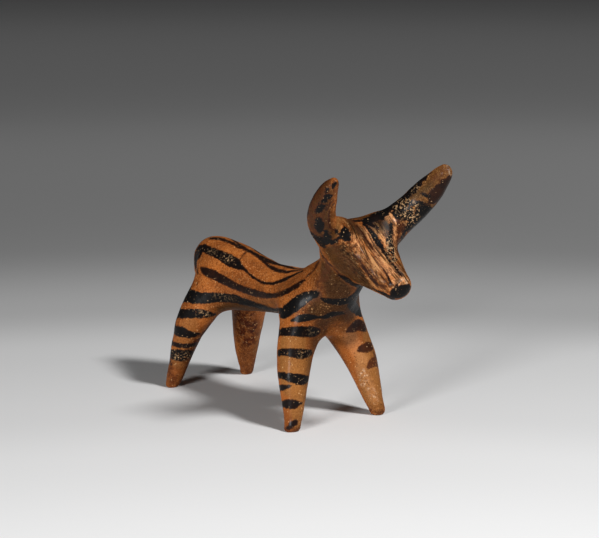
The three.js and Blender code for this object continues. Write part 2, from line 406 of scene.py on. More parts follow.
stroke("spine", (232, 239.5, 2), (243, 247, 3), (252, 252.5, 3.6), (262, 257.5, 4.6), (271, 261.5, 5),
       (280, 264.5, 5), (290, 267, 4), (303, 268.5, 2.5), brown=0.2, worn=0.2)
stroke("upper_flank", (204, 237.5, 3), (215, 238.5, 3), (225, 240.5, 3), (234, 244, 3), (240, 247.5, 3),
       (248, 250.5, 3), (255, 255, 2.5), (262, 260, 2.6), (269, 266, 4), (277, 270, 4.4),
       (286, 272, 3.5), (294, 271, 2.5), (302, 269.5, 1.5), brown=0.2, worn=0.2)
stroke("tail_edge", (197.5, 273, 2), (196.4, 265, 5), (197.4, 257, 7), (200, 250, 8), (204, 248, 8),
       brown=0.1)
stroke("middle_flank", (204, 248, 8), (210, 251, 9), (220, 255, 9.5), (228, 259.5, 12),
       (235, 263, 11.5), (240, 266.5, 7), (245, 270, 3), (251, 275.5, 2.6), (260, 281.5, 2.8),
       (270, 283.7, 3.2), (277, 282.5, 3.6), (284, 279.6, 3.6), (293, 275.5, 2.6), (302, 271, 1.6),
       brown=0.1, worn=0.12)
stroke("crack", (239.5, 259.5, 1), (242, 256.5, 1.6), (245.5, 252.5, 1.2), brown=0.5, worn=0.1)
stroke("lower_flank", (201.6, 268.6, 3), (205, 271, 8), (215, 275.5, 9.5), (225, 281, 8.5),
       (235, 286, 7.5), (245, 290, 7.5), (255, 293, 7.5), (265, 295.4, 6.5), (275, 295.6, 5.5),
       (285, 292, 5.5), (295, 287, 5), (304, 280, 3), brown=0.22, worn=0.12)
stroke("haunch", (186, 295, 14), (193, 297, 13.5), (200, 298, 12), (208, 298, 11), (217, 297.5, 9.5),
       (226, 298, 9), (235, 299, 8.5), (245, 302, 7), (255, 305, 5.6), (265, 308, 4.8), (275, 310.4, 5),
       (281, 311, 7), brown=-0.15, worn=0.16)
stroke("haunch_tick", (197, 280, 1), (197, 285, 1), brown=0.3)
stroke("shoulder", (283, 315, 8), (286, 312, 11), (291, 308, 13), (297, 303.5, 13.5), (303, 299, 12.5),
       (309, 296, 10.5), (316, 294, 7.5), brown=-0.1, worn=0.12)
stroke("chest_line", (292, 320.4, 2.5), (298, 319, 6.5), (304, 318, 8), (310, 317, 6.6),
       (317, 317, 3.4), (324, 317, 4), (331, 314.6, 5.4), (338, 313.4, 4.8), (344, 313.4, 2),
       brown=-0.1, worn=0.1)
stroke("throat_line", (321, 298.5, 2.5), (327, 300.6, 5), (334, 301.8, 6.5), (342, 301.4, 7),
       (350, 299.4, 7), (356, 295.5, 6.5), (360.5, 289, 5), brown=-0.1, worn=0.05)
stroke("chest_blot", (352, 302, 8), (353, 306.5, 10), (357, 310.5, 9), (361, 314.5, 5), brown=-0.1,
       worn=0.1)
print(len(strokes), "strokes on the body and chest")

# %% [markdown]
# The bands go round each leg like rings. The knots are the part that the camera sees, and each band is
# carried on round its leg later. Between them lie a dash, a blot on the toe and the far leg's blots.

# %% The bands on the legs
stroke("hind_band_1", (177.5, 313.5, 10), (186, 313.5, 9.6), (195, 313.6, 9.6), (203, 314, 9),
       (210, 314.4, 6), (215, 314.4, 2), worn=0.26)
stroke("hind_band_2", (174, 329, 9), (180, 331.5, 10.5), (188, 334, 8.5), (195, 334.5, 5),
       (200, 333.5, 2), worn=0.12)
stroke("hind_band_3", (172, 343.6, 4), (179, 345.4, 5), (186, 346, 5.4), (192, 345, 4.5),
       (197, 343.4, 2), brown=0.2, worn=0.2)
stroke("hind_band_4", (170, 353.5, 8), (176, 355, 11.5), (183, 355.4, 12), (189, 354, 8.5),
       (192, 353, 4), worn=0.34)
stroke("hind_shin_speck", (170, 361.5, 3.5), (171.5, 364, 3), brown=0.4, worn=0.5)
stroke("fore_band_1", (279, 333, 6), (287, 331.5, 9), (296, 331.4, 10.5), (305, 332, 11.5),
       (313, 331.8, 11), (318, 330.5, 6), brown=0.1, worn=0.2)
stroke("fore_band_2", (276.5, 353.6, 6), (284, 352.4, 7.5), (293, 353, 9.5), (302, 354, 10.5),
       (309, 353, 7.5), worn=0.28)
stroke("fore_band_3", (276.5, 374.5, 6), (284, 376, 7.5), (292, 378, 10), (300, 379.6, 11.5),
       (305.5, 379, 9), worn=0.14)
stroke("fore_band_4", (281, 404.6, 5), (287, 404, 9), (293, 404, 9.5), (301, 403.4, 3), brown=0.12,
       worn=0.2)
stroke("fore_shin_dash", (277, 388, 7), (282, 387.6, 6.5), (287, 387, 4), (292, 385.5, 1.5), brown=0.15,
       worn=0.15)
stroke("fore_toe", (288.4, 428, 4.5), (291, 425.6, 6.5), (295, 422.6, 6.5), (297, 421, 3), brown=0.2,
       worn=0.25)
stroke("far_leg_blot_1", (347, 331.5, 2.5), (353, 328, 8.5), (359, 325, 11.5), (364, 328, 8.5),
       brown=0.3, worn=0.22)
stroke("far_leg_blot_2", (358.5, 350.5, 3), (363, 348.6, 8.5), (368, 347, 10.5), (371, 347, 8),
       brown=0.5, worn=0.25)
stroke("far_leg_blot_3", (369, 366.5, 4), (373, 363, 9), (376, 361, 9), brown=0.85, worn=0.45)
stroke("far_leg_edge", (371, 344, 1), (376, 360, 1.4), (379.5, 373, 1), brown=0.3, worn=0.2)
print(sum("_band_" in name for name in strokes), "bands on the near legs")

# %% [markdown]
# On the head the slip ran down the face in thin pulls and was dabbed on the horns. Much of it has
# flaked, so these strokes are the most ragged, and on the near horn only flakes are left.

# %% The head and the horns
stroke("neck_back", (320, 258, 2), (317, 264, 2), (314, 270, 2), (306, 277, 2), brown=0.5, worn=0.3)
stroke("cheek_line", (320, 250, 2), (324, 257.5, 2.4), (330, 265, 2.2), (337, 272, 2), (341, 276, 2.4),
       brown=0.4, worn=0.15)
stroke("jaw", (339, 275, 3), (344, 278, 4.4), (350, 281.6, 5), (356, 284.6, 5), (360, 286.4, 3.4),
       brown=0, worn=0, ragged=0.2)
stroke("ear", (344.5, 227.5, 3), (344.5, 231, 8), (345.4, 235, 11), (347, 238.5, 8), brown=0,
       worn=0.16, ragged=1)
stroke("horn_base", (311, 234, 4), (315, 237.5, 6), (320, 241, 9), (323.5, 245, 6), brown=0.05,
       worn=0.15, ragged=1)
NEAR_HORN_FLAKES = (
    [(333, 187.5, 4.4), (334.4, 185.5, 5.8), (335.6, 183.5, 3.8)],
    [(326.5, 192, 3.8), (327.5, 189.5, 5)],
    [(325.6, 197, 3.8), (328.6, 196.5, 6.2), (331, 196, 3.2)],
    [(321, 202.4, 4.2), (325, 201.4, 5)],
    [(317.5, 211.5, 5), (320, 208, 7.5), (323, 205.6, 5)],
    [(318.4, 220.5, 7), (319, 225.5, 9.5), (319.6, 230, 6.8)],
    [(325.6, 231.5, 3.8), (327.6, 236, 8.2), (326.4, 241, 10)],
    [(331, 242, 5.8), (335.6, 240.5, 4.5), (339, 237.5, 3)],
    [(336, 231, 3.8), (338.5, 234.5, 3)],
)
for count, flake in enumerate(NEAR_HORN_FLAKES, 1):
    stroke(f"near_horn_flake_{count}", *flake, brown=0, worn=0.26, ragged=1.2)
stroke("near_horn_root_streak", (329.6, 211, 1.8), (329, 219, 2.8), (330, 227, 3), (334, 230, 2),
       brown=0.45, worn=0.2)
stroke("near_horn_outer_edge", (307.4, 217, 1.6), (309, 206, 2), (314, 195, 2), (321, 186, 1.8),
       (329, 180, 1.4), brown=0.3, worn=0.35, ragged=0.8)
stroke("near_horn_streak", (326.6, 210, 1.6), (330, 205, 2.4), (333, 199.6, 1.8), brown=0.25, worn=0.3,
       ragged=0.9)
stroke("near_horn_short_streak", (331, 207, 1.4), (333.4, 203.6, 1.8), brown=0.25, worn=0.3, ragged=0.9)
stroke("brow_streak", (359, 220.6, 2), (365, 222.6, 4), (371, 224.4, 5), (377, 227.6, 3.4), brown=0.03,
       worn=0.25, ragged=0.9)
stroke("inner_streak", (364, 224, 2.4), (369, 229, 4.4), (374, 236, 6), (378.6, 243, 6), (383, 250, 5),
       (386.6, 256, 3.8), (390, 261.4, 2.6), (394, 266, 2.2), (398, 271.4, 2.6), (402, 277.4, 1.6),
       brown=0.03, worn=0.2, ragged=0.8)
stroke("bridge_streak", (391, 223.6, 3), (391.4, 230, 4.6), (389.6, 237, 6.4), (389.4, 244, 7.6),
       (391.6, 252, 6.8), (394.6, 259.6, 5.4), brown=0, worn=0.4, ragged=0.9)
stroke("edge_streak", (399, 222, 5), (399, 230, 4.6), (398.4, 238, 3.4), (397.8, 246, 2.4),
       (397, 254, 2), brown=0.6, worn=0.4, ragged=1.1)
stroke("eye_streak", (357, 226, 1.4), (361, 231, 2), (364, 236, 2.6), (368, 242, 3), (372, 248, 2.6),
       (376, 253, 1.4), brown=0.25, worn=0.2)
stroke("eye_hairline", (362, 233, 1), (367, 240, 1.4), (371, 246.4, 1.4), (380, 257, 1), brown=0.5,
       worn=0.3)
stroke("cheek_streak", (360, 261, 1.4), (363, 266, 2.6), (367.6, 272.6, 3.2), (372, 279, 3.6),
       (378, 285.4, 3), brown=0.35, worn=0.25)
stroke("nostril_streak", (383, 268.6, 1.6), (386, 273, 2), (388, 277.6, 2.6), (390.6, 283, 3),
       brown=0.1, worn=0.35)
stroke("mouth_line", (372, 288, 1.6), (380, 292.4, 3), (387, 295.6, 3.8), (393, 298.6, 4), brown=0,
       worn=0.05)
stroke("nose", (394.6, 293.4, 10), (399.6, 292, 13), (404.6, 290.4, 12), (407.6, 288, 8), brown=0,
       worn=0.22)
stroke("nostril", (395.4, 286.6, 2.6), (397.4, 284.4, 2.8), brown=0.15, worn=0.3)
stroke("far_horn_upper_edge", (355, 221, 2.4), (362, 220.6, 4), (370, 219.6, 8), (377, 216.6, 10.5),
       (384, 212.4, 10.5), (390, 207.6, 8), (396, 204.6, 10), (401, 200.6, 9), (407, 195.4, 7),
       (412, 190, 8.4), (417, 184.6, 7.4), (422, 179, 6.4), (429.4, 171.4, 4.4), brown=0.05, worn=0.22,
       ragged=1.1)
stroke("far_horn_middle", (394, 207, 6), (400, 208, 12), (406, 204, 10), (412, 203.4, 7),
       (418, 205, 10), (423.4, 206.6, 8), brown=0, worn=0.3, ragged=1.1)
stroke("far_horn_flaked", (395, 213.4, 6), (401, 214, 13), (408, 213, 15), (412, 216.6, 12), brown=0,
       worn=0.3, ragged=1.1)
stroke("far_horn_lower_edge", (400, 240, 2), (404.6, 233, 4), (409, 227, 8), (415.6, 222, 11),
       (421.4, 215.4, 14), (427, 210.6, 12), brown=0, worn=0.12, ragged=1.1)
stroke("far_horn_root", (402, 220, 5), (403, 226, 5), (402, 232, 3.4), brown=0.5, worn=0.5, ragged=1.1)
stroke("far_horn_fleck", (420, 193, 2.4), (425, 194.6, 4), (430, 197, 5), brown=0.15, worn=0.34,
       ragged=1.3)
stroke("far_horn_tip", (432.4, 199, 9), (437, 195, 15.4), (442, 190, 16.4), (447.2, 184.2, 13),
       (451.4, 178.6, 5.6), brown=0.3, worn=0.16, ragged=1.1)
print(len(strokes), "strokes the camera sees")

# %% [markdown]
# Each knot is cast on to the skin. Where the skin turns away from the camera a width read off the
# picture is too small, so it is stretched there, up to a limit.

# %% Lay the strokes on the skin
TRUE_WIDTH_LIMIT = 2.4
LEAST_FACING = 0.3


def laid(knots):
    """A stroke's knots on the skin, each with its real half width in millimetres."""
    hits = [on_skin(tree, x, y) for x, y, _ in knots]
    pulls = np.gradient([spot for spot, _ in hits], axis=0)
    towards = np.array(BACK)
    route = []
    for (_, _, width), (spot, normal), pull in zip(knots, hits, pulls):
        slant = pull @ towards / np.linalg.norm(pull)
        stretch = math.sqrt(max(0.0, 1 - slant**2)) / max(normal @ towards, LEAST_FACING)
        half = width / 2 / PX_PER_MM * min(max(stretch, 1.0), TRUE_WIDTH_LIMIT)
        route.append([*spot, half])
    return np.array(route)


for each in strokes.values():
    each["route"] = laid(each["knots"])
print("widest half width:", max(each["route"][:, 3].max() for each in strokes.values()).round(1), "mm")

# %% [markdown]
# The bull was painted all round, so the stripes of the near flank are repeated, mirrored, on the far
# one, a little higher and plainer, because no hand repeats itself. The tail, the nape and the backs of
# the horns get lines of their own, laid inside the clay and cast out on to the skin.

# %% Carry the stripes round the far side
FAR_DRIFT = 0.7
FAR_THINNER = 0.95
FAR_PALER = 0.05
REPEATED_OUTWARD_UPWARD = {
    "upper_flank": (3.2, 0.3), "middle_flank": (0.6, 0.8), "lower_flank": (0, -0.5),
    "haunch": (0, 0.4), "shoulder": (0, 0.6), "chest_line": (0, 0), "throat_line": (0, -0.4),
    "neck_back": (0, 0.5), "ear": (0, 0), "horn_base": (0, 0), "jaw": (0, 0),
}
TAIL = [
    (-39, -0.5, 44, 1.4), (-44, -1, 43.6, 2.4), (-47.4, -1.6, 40.6, 2.9), (-48, -2.1, 37, 2.9),
    (-48, -2.4, 34.4, 2),
]
NAPE = [(27.6, -8, 57.4, 1.2), (26.6, -4, 57.6, 1.8), (26.4, 0, 57.6, 1.6), (26.6, 3.6, 57.6, 1)]
HORN_BACK = [
    (28, 6, 56.4, 1.6), (31, 11, 59.4, 2.6), (33, 15.2, 62.9, 2.8), (35.4, 17.8, 66.7, 2),
    (38, 19, 70, 1.2),
]
HORN_TIP = [(40, 19.5, 72.2, 1.2), (42, 19.9, 74.2, 1.6), (43, 20, 75, 1)]
FAR_HORN_WORN, NEAR_HORN_WORN = 0.4, 0.52
far_strokes = []


def far_stroke(route, brown=0.2, worn=0.25, ragged=0.4):
    """A stroke that the camera doesn't see, already lying on the skin."""
    far_strokes.append({"route": route, "brown": brown, "worn": worn, "ragged": ragged})


def mirrored(route, drift):
    """The same stroke on the other flank, moved by the drift and set back on the skin."""
    spots = [tree.find_nearest(Vector((x, -y, z)) + Vector(drift))[0] for x, y, z, _ in route]
    return np.array([[*spot, half * FAR_THINNER] for spot, half in zip(spots, route[:, 3])])


def cast_out(line, towards):
    """A line inside the clay, cast out on to the skin in one direction."""
    aim = Vector(towards).normalized()
    return np.array([[*tree.ray_cast(Vector(spot), aim)[0], half] for *spot, half in line])


for name, (outward, upward) in REPEATED_OUTWARD_UPWARD.items():
    near = strokes[name]
    route = mirrored(near["route"], (FAR_DRIFT, outward, upward))
    far_stroke(route, near["brown"] + FAR_PALER, near["worn"] + FAR_PALER, near["ragged"])
far_stroke(cast_out(TAIL, (-1, 0, 0.5)), brown=0.1)
for side, worn in ((1, FAR_HORN_WORN), (-1, NEAR_HORN_WORN)):
    for line in (HORN_BACK, HORN_TIP):
        route = cast_out([(x, y * side, z, half) for x, y, z, half in line], (-1, 0, 0.25))
        far_stroke(route, brown=0.15, worn=worn, ragged=1.2)
far_stroke(cast_out(NAPE, (-0.6, 0, 1)), brown=0.3, worn=0.45, ragged=1.2)
print(len(far_strokes), "strokes on the far flank, the tail, the nape and the horns")

# %% [markdown]
# The bands go on round each leg as parts of rings. A ring is cast out from a line down the middle of
# its leg. It starts and ends at an angle in degrees, climbs a little, and thins towards its end.

# %% Carry the bands round the legs
LEG_LINES = {
    "hind": (Vector((-45.5, 14.4, 0)), Vector((-39.8, 10.8, 20))),
    "fore": (Vector((19.4, 15.9, 0)), Vector((13.3, 10.6, 22))),
}
RING_POINTS, RING_THINNING, RING_LEAST_HALF = 7, 0.45, 0.9
START_END_SOONER_CLIMB = {-1: (-118, -250, 25, 0.6), 1: (48, 215, -20, -0.5)}
FAR_RING_WIDER = 1.05


def round_leg(leg, side, height, half, odd):
    """Part of a ring round a leg; every other ring ends sooner."""
    low, high = LEG_LINES[leg]
    start, end, sooner, climb = START_END_SOONER_CLIMB[side]
    out = []
    for share in np.linspace(0, 1, RING_POINTS):
        z = height + climb * share
        middle = low.lerp(high, z / high.z)
        middle = Vector((middle.x, middle.y * side, z))
        angle = math.radians(start + (end + sooner * odd - start) * share)
        spot = tree.ray_cast(middle, Vector((math.cos(angle), math.sin(angle), 0)))[0]
        out.append([*spot, half * (1 - RING_THINNING * share**2)])
    return np.array(out)


for leg in LEG_LINES:
    bands = [each["route"] for name, each in strokes.items() if name.startswith(leg + "_band_")]
    for count, band in enumerate(bands):
        odd = count % 2
        first, middle = band[0], band[len(band) // 2]
        far_stroke(round_leg(leg, -1, first[2], max(first[3], RING_LEAST_HALF), odd))
        height = middle[2] + FAR_DRIFT * (1 - odd)
        far_stroke(round_leg(leg, 1, height, middle[3] * FAR_RING_WIDER, odd))
print(len(far_strokes), "strokes out of the camera's sight")

# %% [markdown]
# The material has to know how far inside a stroke each place lies, so that is measured at every point
# of the skin and kept as an attribute. Noise added to a distance later frays the edge like dry slip,
# which a painted image can't do. Where the skin faces the camera the distance is taken in the picture,
# elsewhere along the skin. Tones blend where strokes meet. How deep each point lies in a hollow is kept
# too, for the painted shade that darkens the hollows.

# %% Measure the slip
BLEND = 4.0
NO_SLIP = -6.0
FACING_LOW, FACING_HIGH = 0.12, 0.36
NEAR_LOW, NEAR_HIGH = -4.0, -2.0
KEPT_FROM_SIGHT = 3.0
HOLLOW_ROUNDS = 24
HOLLOW_LOW, HOLLOW_HIGH = 0.05, 0.75
TO_HALF_WIDTH = (1, 1, 0.5)

look = np.array(EYE / MM) - places
ahead = look @ np.array(BACK)
picture = np.stack([
    PHOTO_WIDTH / 2 - look @ np.array(RIGHT) / ahead * FOCAL_PX,
    PHOTO_HEIGHT / 2 + look @ np.array(UP) / ahead * FOCAL_PX,
], axis=1)
facing = np.einsum("ij,ij->i", look / np.linalg.norm(look, axis=1)[:, None], normals)
seen = smooth_step(FACING_LOW, FACING_HIGH, facing)


def depth_in(each):
    """How far each point of the skin lies inside a stroke, in millimetres, or NO_SLIP far from it."""
    route = curve(each["route"])
    reach = route[:, 3].max() - NO_SLIP
    low, high = route[:, :3].min(axis=0) - reach, route[:, :3].max(axis=0) + reach
    close = np.flatnonzero(np.all((places > low) & (places < high), axis=1))
    depth = np.full(len(places), NO_SLIP)
    along_skin = inside(places[close], route)
    if "knots" in each:
        flat = curve(each["knots"]) * TO_HALF_WIDTH
        in_picture = inside(picture[close], flat) / PX_PER_MM
        trust = seen[close] * smooth_step(NEAR_LOW, NEAR_HIGH, along_skin)
        depth[close] = trust * in_picture + (1 - trust) * along_skin
    else:
        depth[close] = along_skin - KEPT_FROM_SIGHT * seen[close]
    return np.maximum(depth, NO_SLIP)


def shade_in_hollows():
    """How far each point lies in a hollow of the skin, 0 on swellings and 1 in the deepest folds; the clay
    is painted darker there as shade.
    """
    pairs = np.array([e.vertices[:] for e in dented.edges])
    count = np.bincount(pairs.ravel(), minlength=len(places))[:, None]

    def neighbours(values):
        total = np.zeros_like(values)
        np.add.at(total, pairs[:, 0], values[pairs[:, 1]])
        np.add.at(total, pairs[:, 1], values[pairs[:, 0]])
        return total / count

    sunk = places.copy()
    for _ in range(HOLLOW_ROUNDS):
        sunk = neighbours(sunk)
    return smooth_step(HOLLOW_LOW, HOLLOW_HIGH, np.einsum("ij,ij->i", sunk - places, normals))


def keep(name, values):
    """Keeps one number for each point of the skin as an attribute that the material can read."""
    dented.attributes.new(name, "FLOAT", "POINT").data.foreach_set("value", values)


edge = np.full(len(places), NO_SLIP)
weight = np.full(len(places), TINY)
tones = {"brown": 0.0, "worn": 0.0, "ragged": 0.0}
for each in [*strokes.values(), *far_strokes]:
    depth = depth_in(each)
    edge = np.maximum(edge, depth)
    share = np.exp(BLEND * np.minimum(depth, 1.0))
    weight += share
    for name in tones:
        tones[name] = tones[name] + share * each[name]
hollow_shade = shade_in_hollows()
print("hollows:", np.percentile(hollow_shade, (50, 90, 99)).round(2))
keep("hollow_shade", hollow_shade)
keep("slip_depth", edge)
for name, total in tones.items():
    keep("slip_" + name, total / weight)
print("slip covers", round(float((edge > 0).mean() * 100), 1), "% of the skin's points")

# %% [markdown]
# Between the stripes the clay isn't one colour: there is soot on the legs, a duller umber, and thin washes
# of slip. The soot and the umber also hold painted shadow and shade: the far hind leg in the body's shadow,
# dark rims where the feet meet the floor, and the shade under the head, on the chest, the belly, the cheek
# and the near horn. These are soft patches, each a strength and a route with a width at every knot. Kinds
# that belong to the clay itself are mirrored on to the far side.

# %% Dark patches
ON_BOTH_SIDES = ("soot_and_shadow", "umber_and_shade", "ochre", "streaky", "rubbed", "gritty")
patches = {}


def patch(kind, *spots, both_sides=True):
    """Soft patches of one kind, each a strength and then (x, y, width) knots in pixels."""
    flips = (1, -1) if both_sides and kind in ON_BOTH_SIDES else (1,)
    found = patches.setdefault(kind, [])
    found += [(laid(knots), strength, flips) for strength, *knots in spots]


# Soot on the legs, and painted shadow: the far hind leg in the body's shadow and dark rims where the feet
# meet the floor.
patch(
    "soot_and_shadow",
    (1, (242, 316, 20), (247, 330, 24), (247, 341, 18)),
    (0.45, (247, 352, 20), (248, 368, 14)),
    (0.7, (172, 372, 12), (172, 383, 10)),
    (0.4, (293, 424, 12), (293, 429, 10)),
    (0.5, (377, 412, 9), (381, 413, 8)),
    (0.9, (286, 430.6, 3), (293, 431.4, 3), (299, 430.6, 3)),
    (0.9, (371, 411, 3), (377, 413, 3), (383, 411.6, 3)),
    (0.7, (243, 371, 3), (248, 372.4, 3), (252, 371, 3)),
    (0.5, (188, 288, 8), (187, 300, 8)),
)
# Umber, and painted shade: under the head on the neck and chest, on the cheek, the belly, the inner legs
# and the near horn.
patch(
    "umber_and_shade",
    (1, (314, 311, 14), (326, 309, 24), (342, 310, 22), (350, 318, 14)),
    (1, (327, 272, 12), (332, 281, 20), (338, 292, 24)),
    (0.5, (318, 268, 10), (318, 282, 12)),
    (1, (334, 252, 16), (345, 264, 19), (354, 273, 15), (364, 283, 9)),
    (1, (326, 184, 8), (318, 196, 12), (313, 210, 12), (314, 224, 12), (320, 236, 8)),
    (1, (330, 192, 8), (325, 208, 10), (326, 226, 11), (332, 236, 11)),
    (1, (344, 215, 9), (351, 222, 11), (357, 229, 7)),
    (0.2, (172, 366, 16), (171, 380, 14)),
    (0.35, (212, 306, 12), (232, 309, 14), (262, 305, 12)),
    (0.6, (250, 298, 6), (262, 301, 8), (274, 303, 7)),
    (1, (222, 309, 8), (245, 309, 12), (272, 311, 12)),
    (0.4, (240, 318, 20), (247, 335, 24), (248, 352, 20), (248, 368, 14)),
    (0.5, (430, 184, 10), (438, 176, 13), (446, 171, 12)),
    (0.85, (412, 196, 8), (422, 192, 9), (430, 184, 8)),
    (0.6, (362, 258, 10), (370, 270, 10), (380, 282, 10)),
    (0.7, (424, 204, 8), (432, 206, 8)),
    (0.7, (322, 332, 14), (316, 344, 10), (312, 362, 7)),
)
patch(
    "brown_wash",
    (0.95, (328, 266, 6), (324, 276, 8), (320, 284, 9), (317, 292, 8), (319, 299, 6)),
    (0.5, (334, 244, 3), (338, 252, 4), (343, 260, 3)),
    (0.5, (344, 256, 3), (352, 266, 4), (360, 276, 3)),
    (0.75, (350, 240, 3), (356, 251, 4), (361, 260, 4), (367, 269, 4), (373, 278, 4)),
    (0.8, (371, 272, 4), (377, 280, 6), (383, 286, 6)),
    (0.6, (400, 226, 6), (399, 236, 6), (397, 248, 5), (398, 258, 4)),
    (0.5, (222, 273, 5), (235, 279, 6), (250, 285, 6), (262, 289, 5)),
    (0.4, (270, 291, 6), (283, 286, 6), (296, 281, 5)),
    (0.3, (240, 256, 3), (252, 262, 4), (262, 268, 3)),
    (0.6, (322, 324, 12), (338, 320, 14), (350, 322, 10)),
    (0.3, (366, 336, 8), (372, 352, 8)),
    (0.9, (318, 192, 8), (311, 206, 9), (310, 220, 9), (315, 232, 8)),
    (0.8, (343, 215, 8), (351, 221, 10), (357, 227, 7)),
    (0.9, (328, 186, 7), (322, 196, 11), (316, 210, 13), (317, 226, 12)),
    (0.75, (434, 177, 9), (440, 172, 10), (446, 169, 7)),
)
patch(
    "grey_wash",
    (0.2, (361, 232, 4), (367, 240, 4), (373, 248, 4), (377, 255, 3)),
    (0.3, (376, 258, 4), (381, 266, 4), (386, 274, 5)),
    (0.5, (368, 223, 4), (372, 226, 4)),
    (0.9, (386.6, 224, 5), (388.4, 229, 6), (389, 235, 5), (389.4, 241, 4)),
    (0.6, (396, 266, 4), (401, 273, 4)),
    (0.4, (308, 297, 8), (317, 294, 6)),
)
print("dark kinds:", ", ".join(patches))

# %% [markdown]
# Paler places lie between: rosy streaks down the face, which also paint the light on the lit face and the
# far fore leg, chalky wear with painted highlights on the snout, the horn and a leg, and ochre on the
# legs. The far horn's ochre isn't mirrored, because its twin would fall on the near horn.

# %% Pale patches
# Pinker clay, and painted light on the lit side of the face, the top of the snout and the far fore leg.
patch(
    "rosy_and_lit",
    (1, (368, 230, 5), (372, 238, 7), (379, 250, 8), (386, 260, 8), (394, 272, 9)),
    (0.45, (355, 238, 7), (361, 248, 9), (368, 258, 7), (376, 269, 8)),
    (0.8, (383, 230, 4), (385, 238, 4), (388, 248, 3)),
    (0.9, (395, 224, 3), (395, 240, 3), (396, 256, 3)),
    (1, (389, 215, 9), (396, 220, 8)),
    (1, (398, 281, 7), (404, 281, 6)),
    (0.3, (350, 336, 12), (356, 348, 12), (362, 360, 10)),
    (0.5, (404, 214, 12), (410, 215, 10)),
    (0.25, (360, 368, 9), (366, 382, 10), (374, 398, 8)),
)
# Pale wear, and painted highlights on the far horn's tip, the snout's rim and the far fore leg.
patch(
    "chalk_and_highlight",
    (1, (447, 166, 2.4), (450, 169, 3), (450.4, 174, 2.4)),
    (0.9, (397, 283.4, 3), (403, 282, 4), (407, 281, 3)),
    (0.6, (362, 373, 5), (364, 378, 5), (363, 383, 4)),
    (0.35, (370, 388, 4), (373, 395, 4), (375, 401, 4)),
)
patch(
    "ochre",
    (0.9, (336, 208, 5), (338, 220, 5), (338, 228, 5)),
    (0.8, (292, 342, 26), (292, 366, 26), (291, 386, 20)),
    (0.8, (367, 356, 20), (371, 372, 24), (375, 392, 22), (379, 408, 14)),
    (0.5, (190, 322, 16), (184, 340, 16), (178, 362, 14)),
)
patch(
    "ochre",
    (1, (404, 212, 30), (420, 200, 28), (434, 182, 22), (446, 170, 16)),
    both_sides=False,
)
print("with the pale kinds:", ", ".join(patches))

# %% [markdown]
# The last kinds say where the surface differs: where the slip has flaked, where the brush left streaks
# on the face, where the clay was rubbed smooth, and where its grit shows most.

# %% Patches of another surface
patch(
    "flaked",
    (1, (223, 256, 3), (227, 258, 6), (231, 260, 4)),
    (0.4, (210, 251, 4), (215, 253, 3)),
    (0.25, (214, 295, 3), (224, 297, 4), (234, 299, 3)),
    (0.7, (200, 314, 5), (206, 314, 6)),
    (0.6, (176, 357, 7), (186, 357, 8)),
    (0.5, (301, 354, 6), (308, 353, 6)),
    (0.25, (307, 333, 5), (314, 330, 6)),
    (0.9, (388.6, 238, 6), (391.6, 252, 8), (394, 260, 6)),
    (0.9, (400, 205, 10), (408, 208, 17), (411, 215, 15), (409, 222, 9)),
    (0.5, (414, 190, 4), (420, 186, 4)),
)
patch(
    "streaky",
    (1, (358, 238, 24), (370, 252, 34), (384, 270, 32), (397, 280, 16)),
    (0.25, (330, 262, 30), (346, 280, 20)),
)
patch(
    "rubbed",
    (0.8, (334, 248, 18), (344, 264, 20), (354, 276, 14)),
    (1, (291, 335, 30), (290, 380, 26), (291, 415, 20)),
    (0.8, (345, 335, 24), (358, 365, 26), (372, 395, 22)),
    (0.8, (196, 322, 26), (186, 345, 24), (178, 370, 18)),
)
patch(
    "gritty",
    (0.9, (298, 308, 12), (308, 303, 14), (318, 304, 16), (322, 312, 16)),
    (0.7, (326, 324, 18), (340, 326, 20), (346, 318, 12)),
    (0.5, (350, 338, 12), (356, 350, 8)),
    (0.6, (360, 366, 10), (366, 384, 14), (376, 404, 12)),
    (0.8, (246, 318, 20), (252, 332, 22), (250, 346, 18)),
    (0.35, (258, 258, 14), (276, 274, 16), (294, 282, 14)),
)
print("all kinds:", ", ".join(patches))

# %% [markdown]
# Each kind becomes one number for every point of the skin. It rises softly across a patch's edge, and
# where patches meet the stronger one wins.

# %% Add up the patches
PLAIN_SOFTNESS = 1.2
SOFTNESS = {"umber_and_shade": 2.4, "soot_and_shadow": 2.0, "streaky": 2.5}
FULL_INSIDE = 0.6
PATCH_PIECES = 3
for kind, spots in patches.items():
    total = np.zeros(len(places))
    soft = SOFTNESS.get(kind, PLAIN_SOFTNESS)
    for route, strength, flips in spots:
        for flip in flips:
            depth = inside(places, curve(route * (1, flip, 1, 1), PATCH_PIECES))
            total = np.maximum(total, strength * smooth_step(-soft, soft * FULL_INSIDE, depth))
    keep(kind, total)
print(sum(len(spots) for spots in patches.values()), "patches kept")

# %% [markdown]
# The helpers of the material speak of clay: clouds of grain and round dots of a size in millimetres,
# numbers kept on the skin, and colours laid over one another. Noise in real millimetres needs no
# unwrapping and has no seam.

# %% The bench for the material
def colour(red, green, blue):
    """A colour read off a screen, as the light values that a shader wants."""
    channels = [c / 255 for c in (red, green, blue)]
    return (*(c / 12.92 if c < 0.04045 else ((c + 0.055) / 1.055) ** 2.4 for c in channels), 1.0)


DOT_CORE, HAIR = 0.6, 0.01
millimetres = bench.node("ShaderNodeTexCoord", out="Object").scaled(1 / MM)


def grain(size, detail=4, rough=0.5, lot=0):
    """Cloudy noise with clouds of about so many millimetres; each lot is another pattern."""
    sockets = {"Vector": millimetres, "W": lot, "Scale": 1 / size, "Detail": detail, "Roughness": rough}
    return bench.node("ShaderNodeTexNoise", sockets, {"noise_dimensions": "4D"})


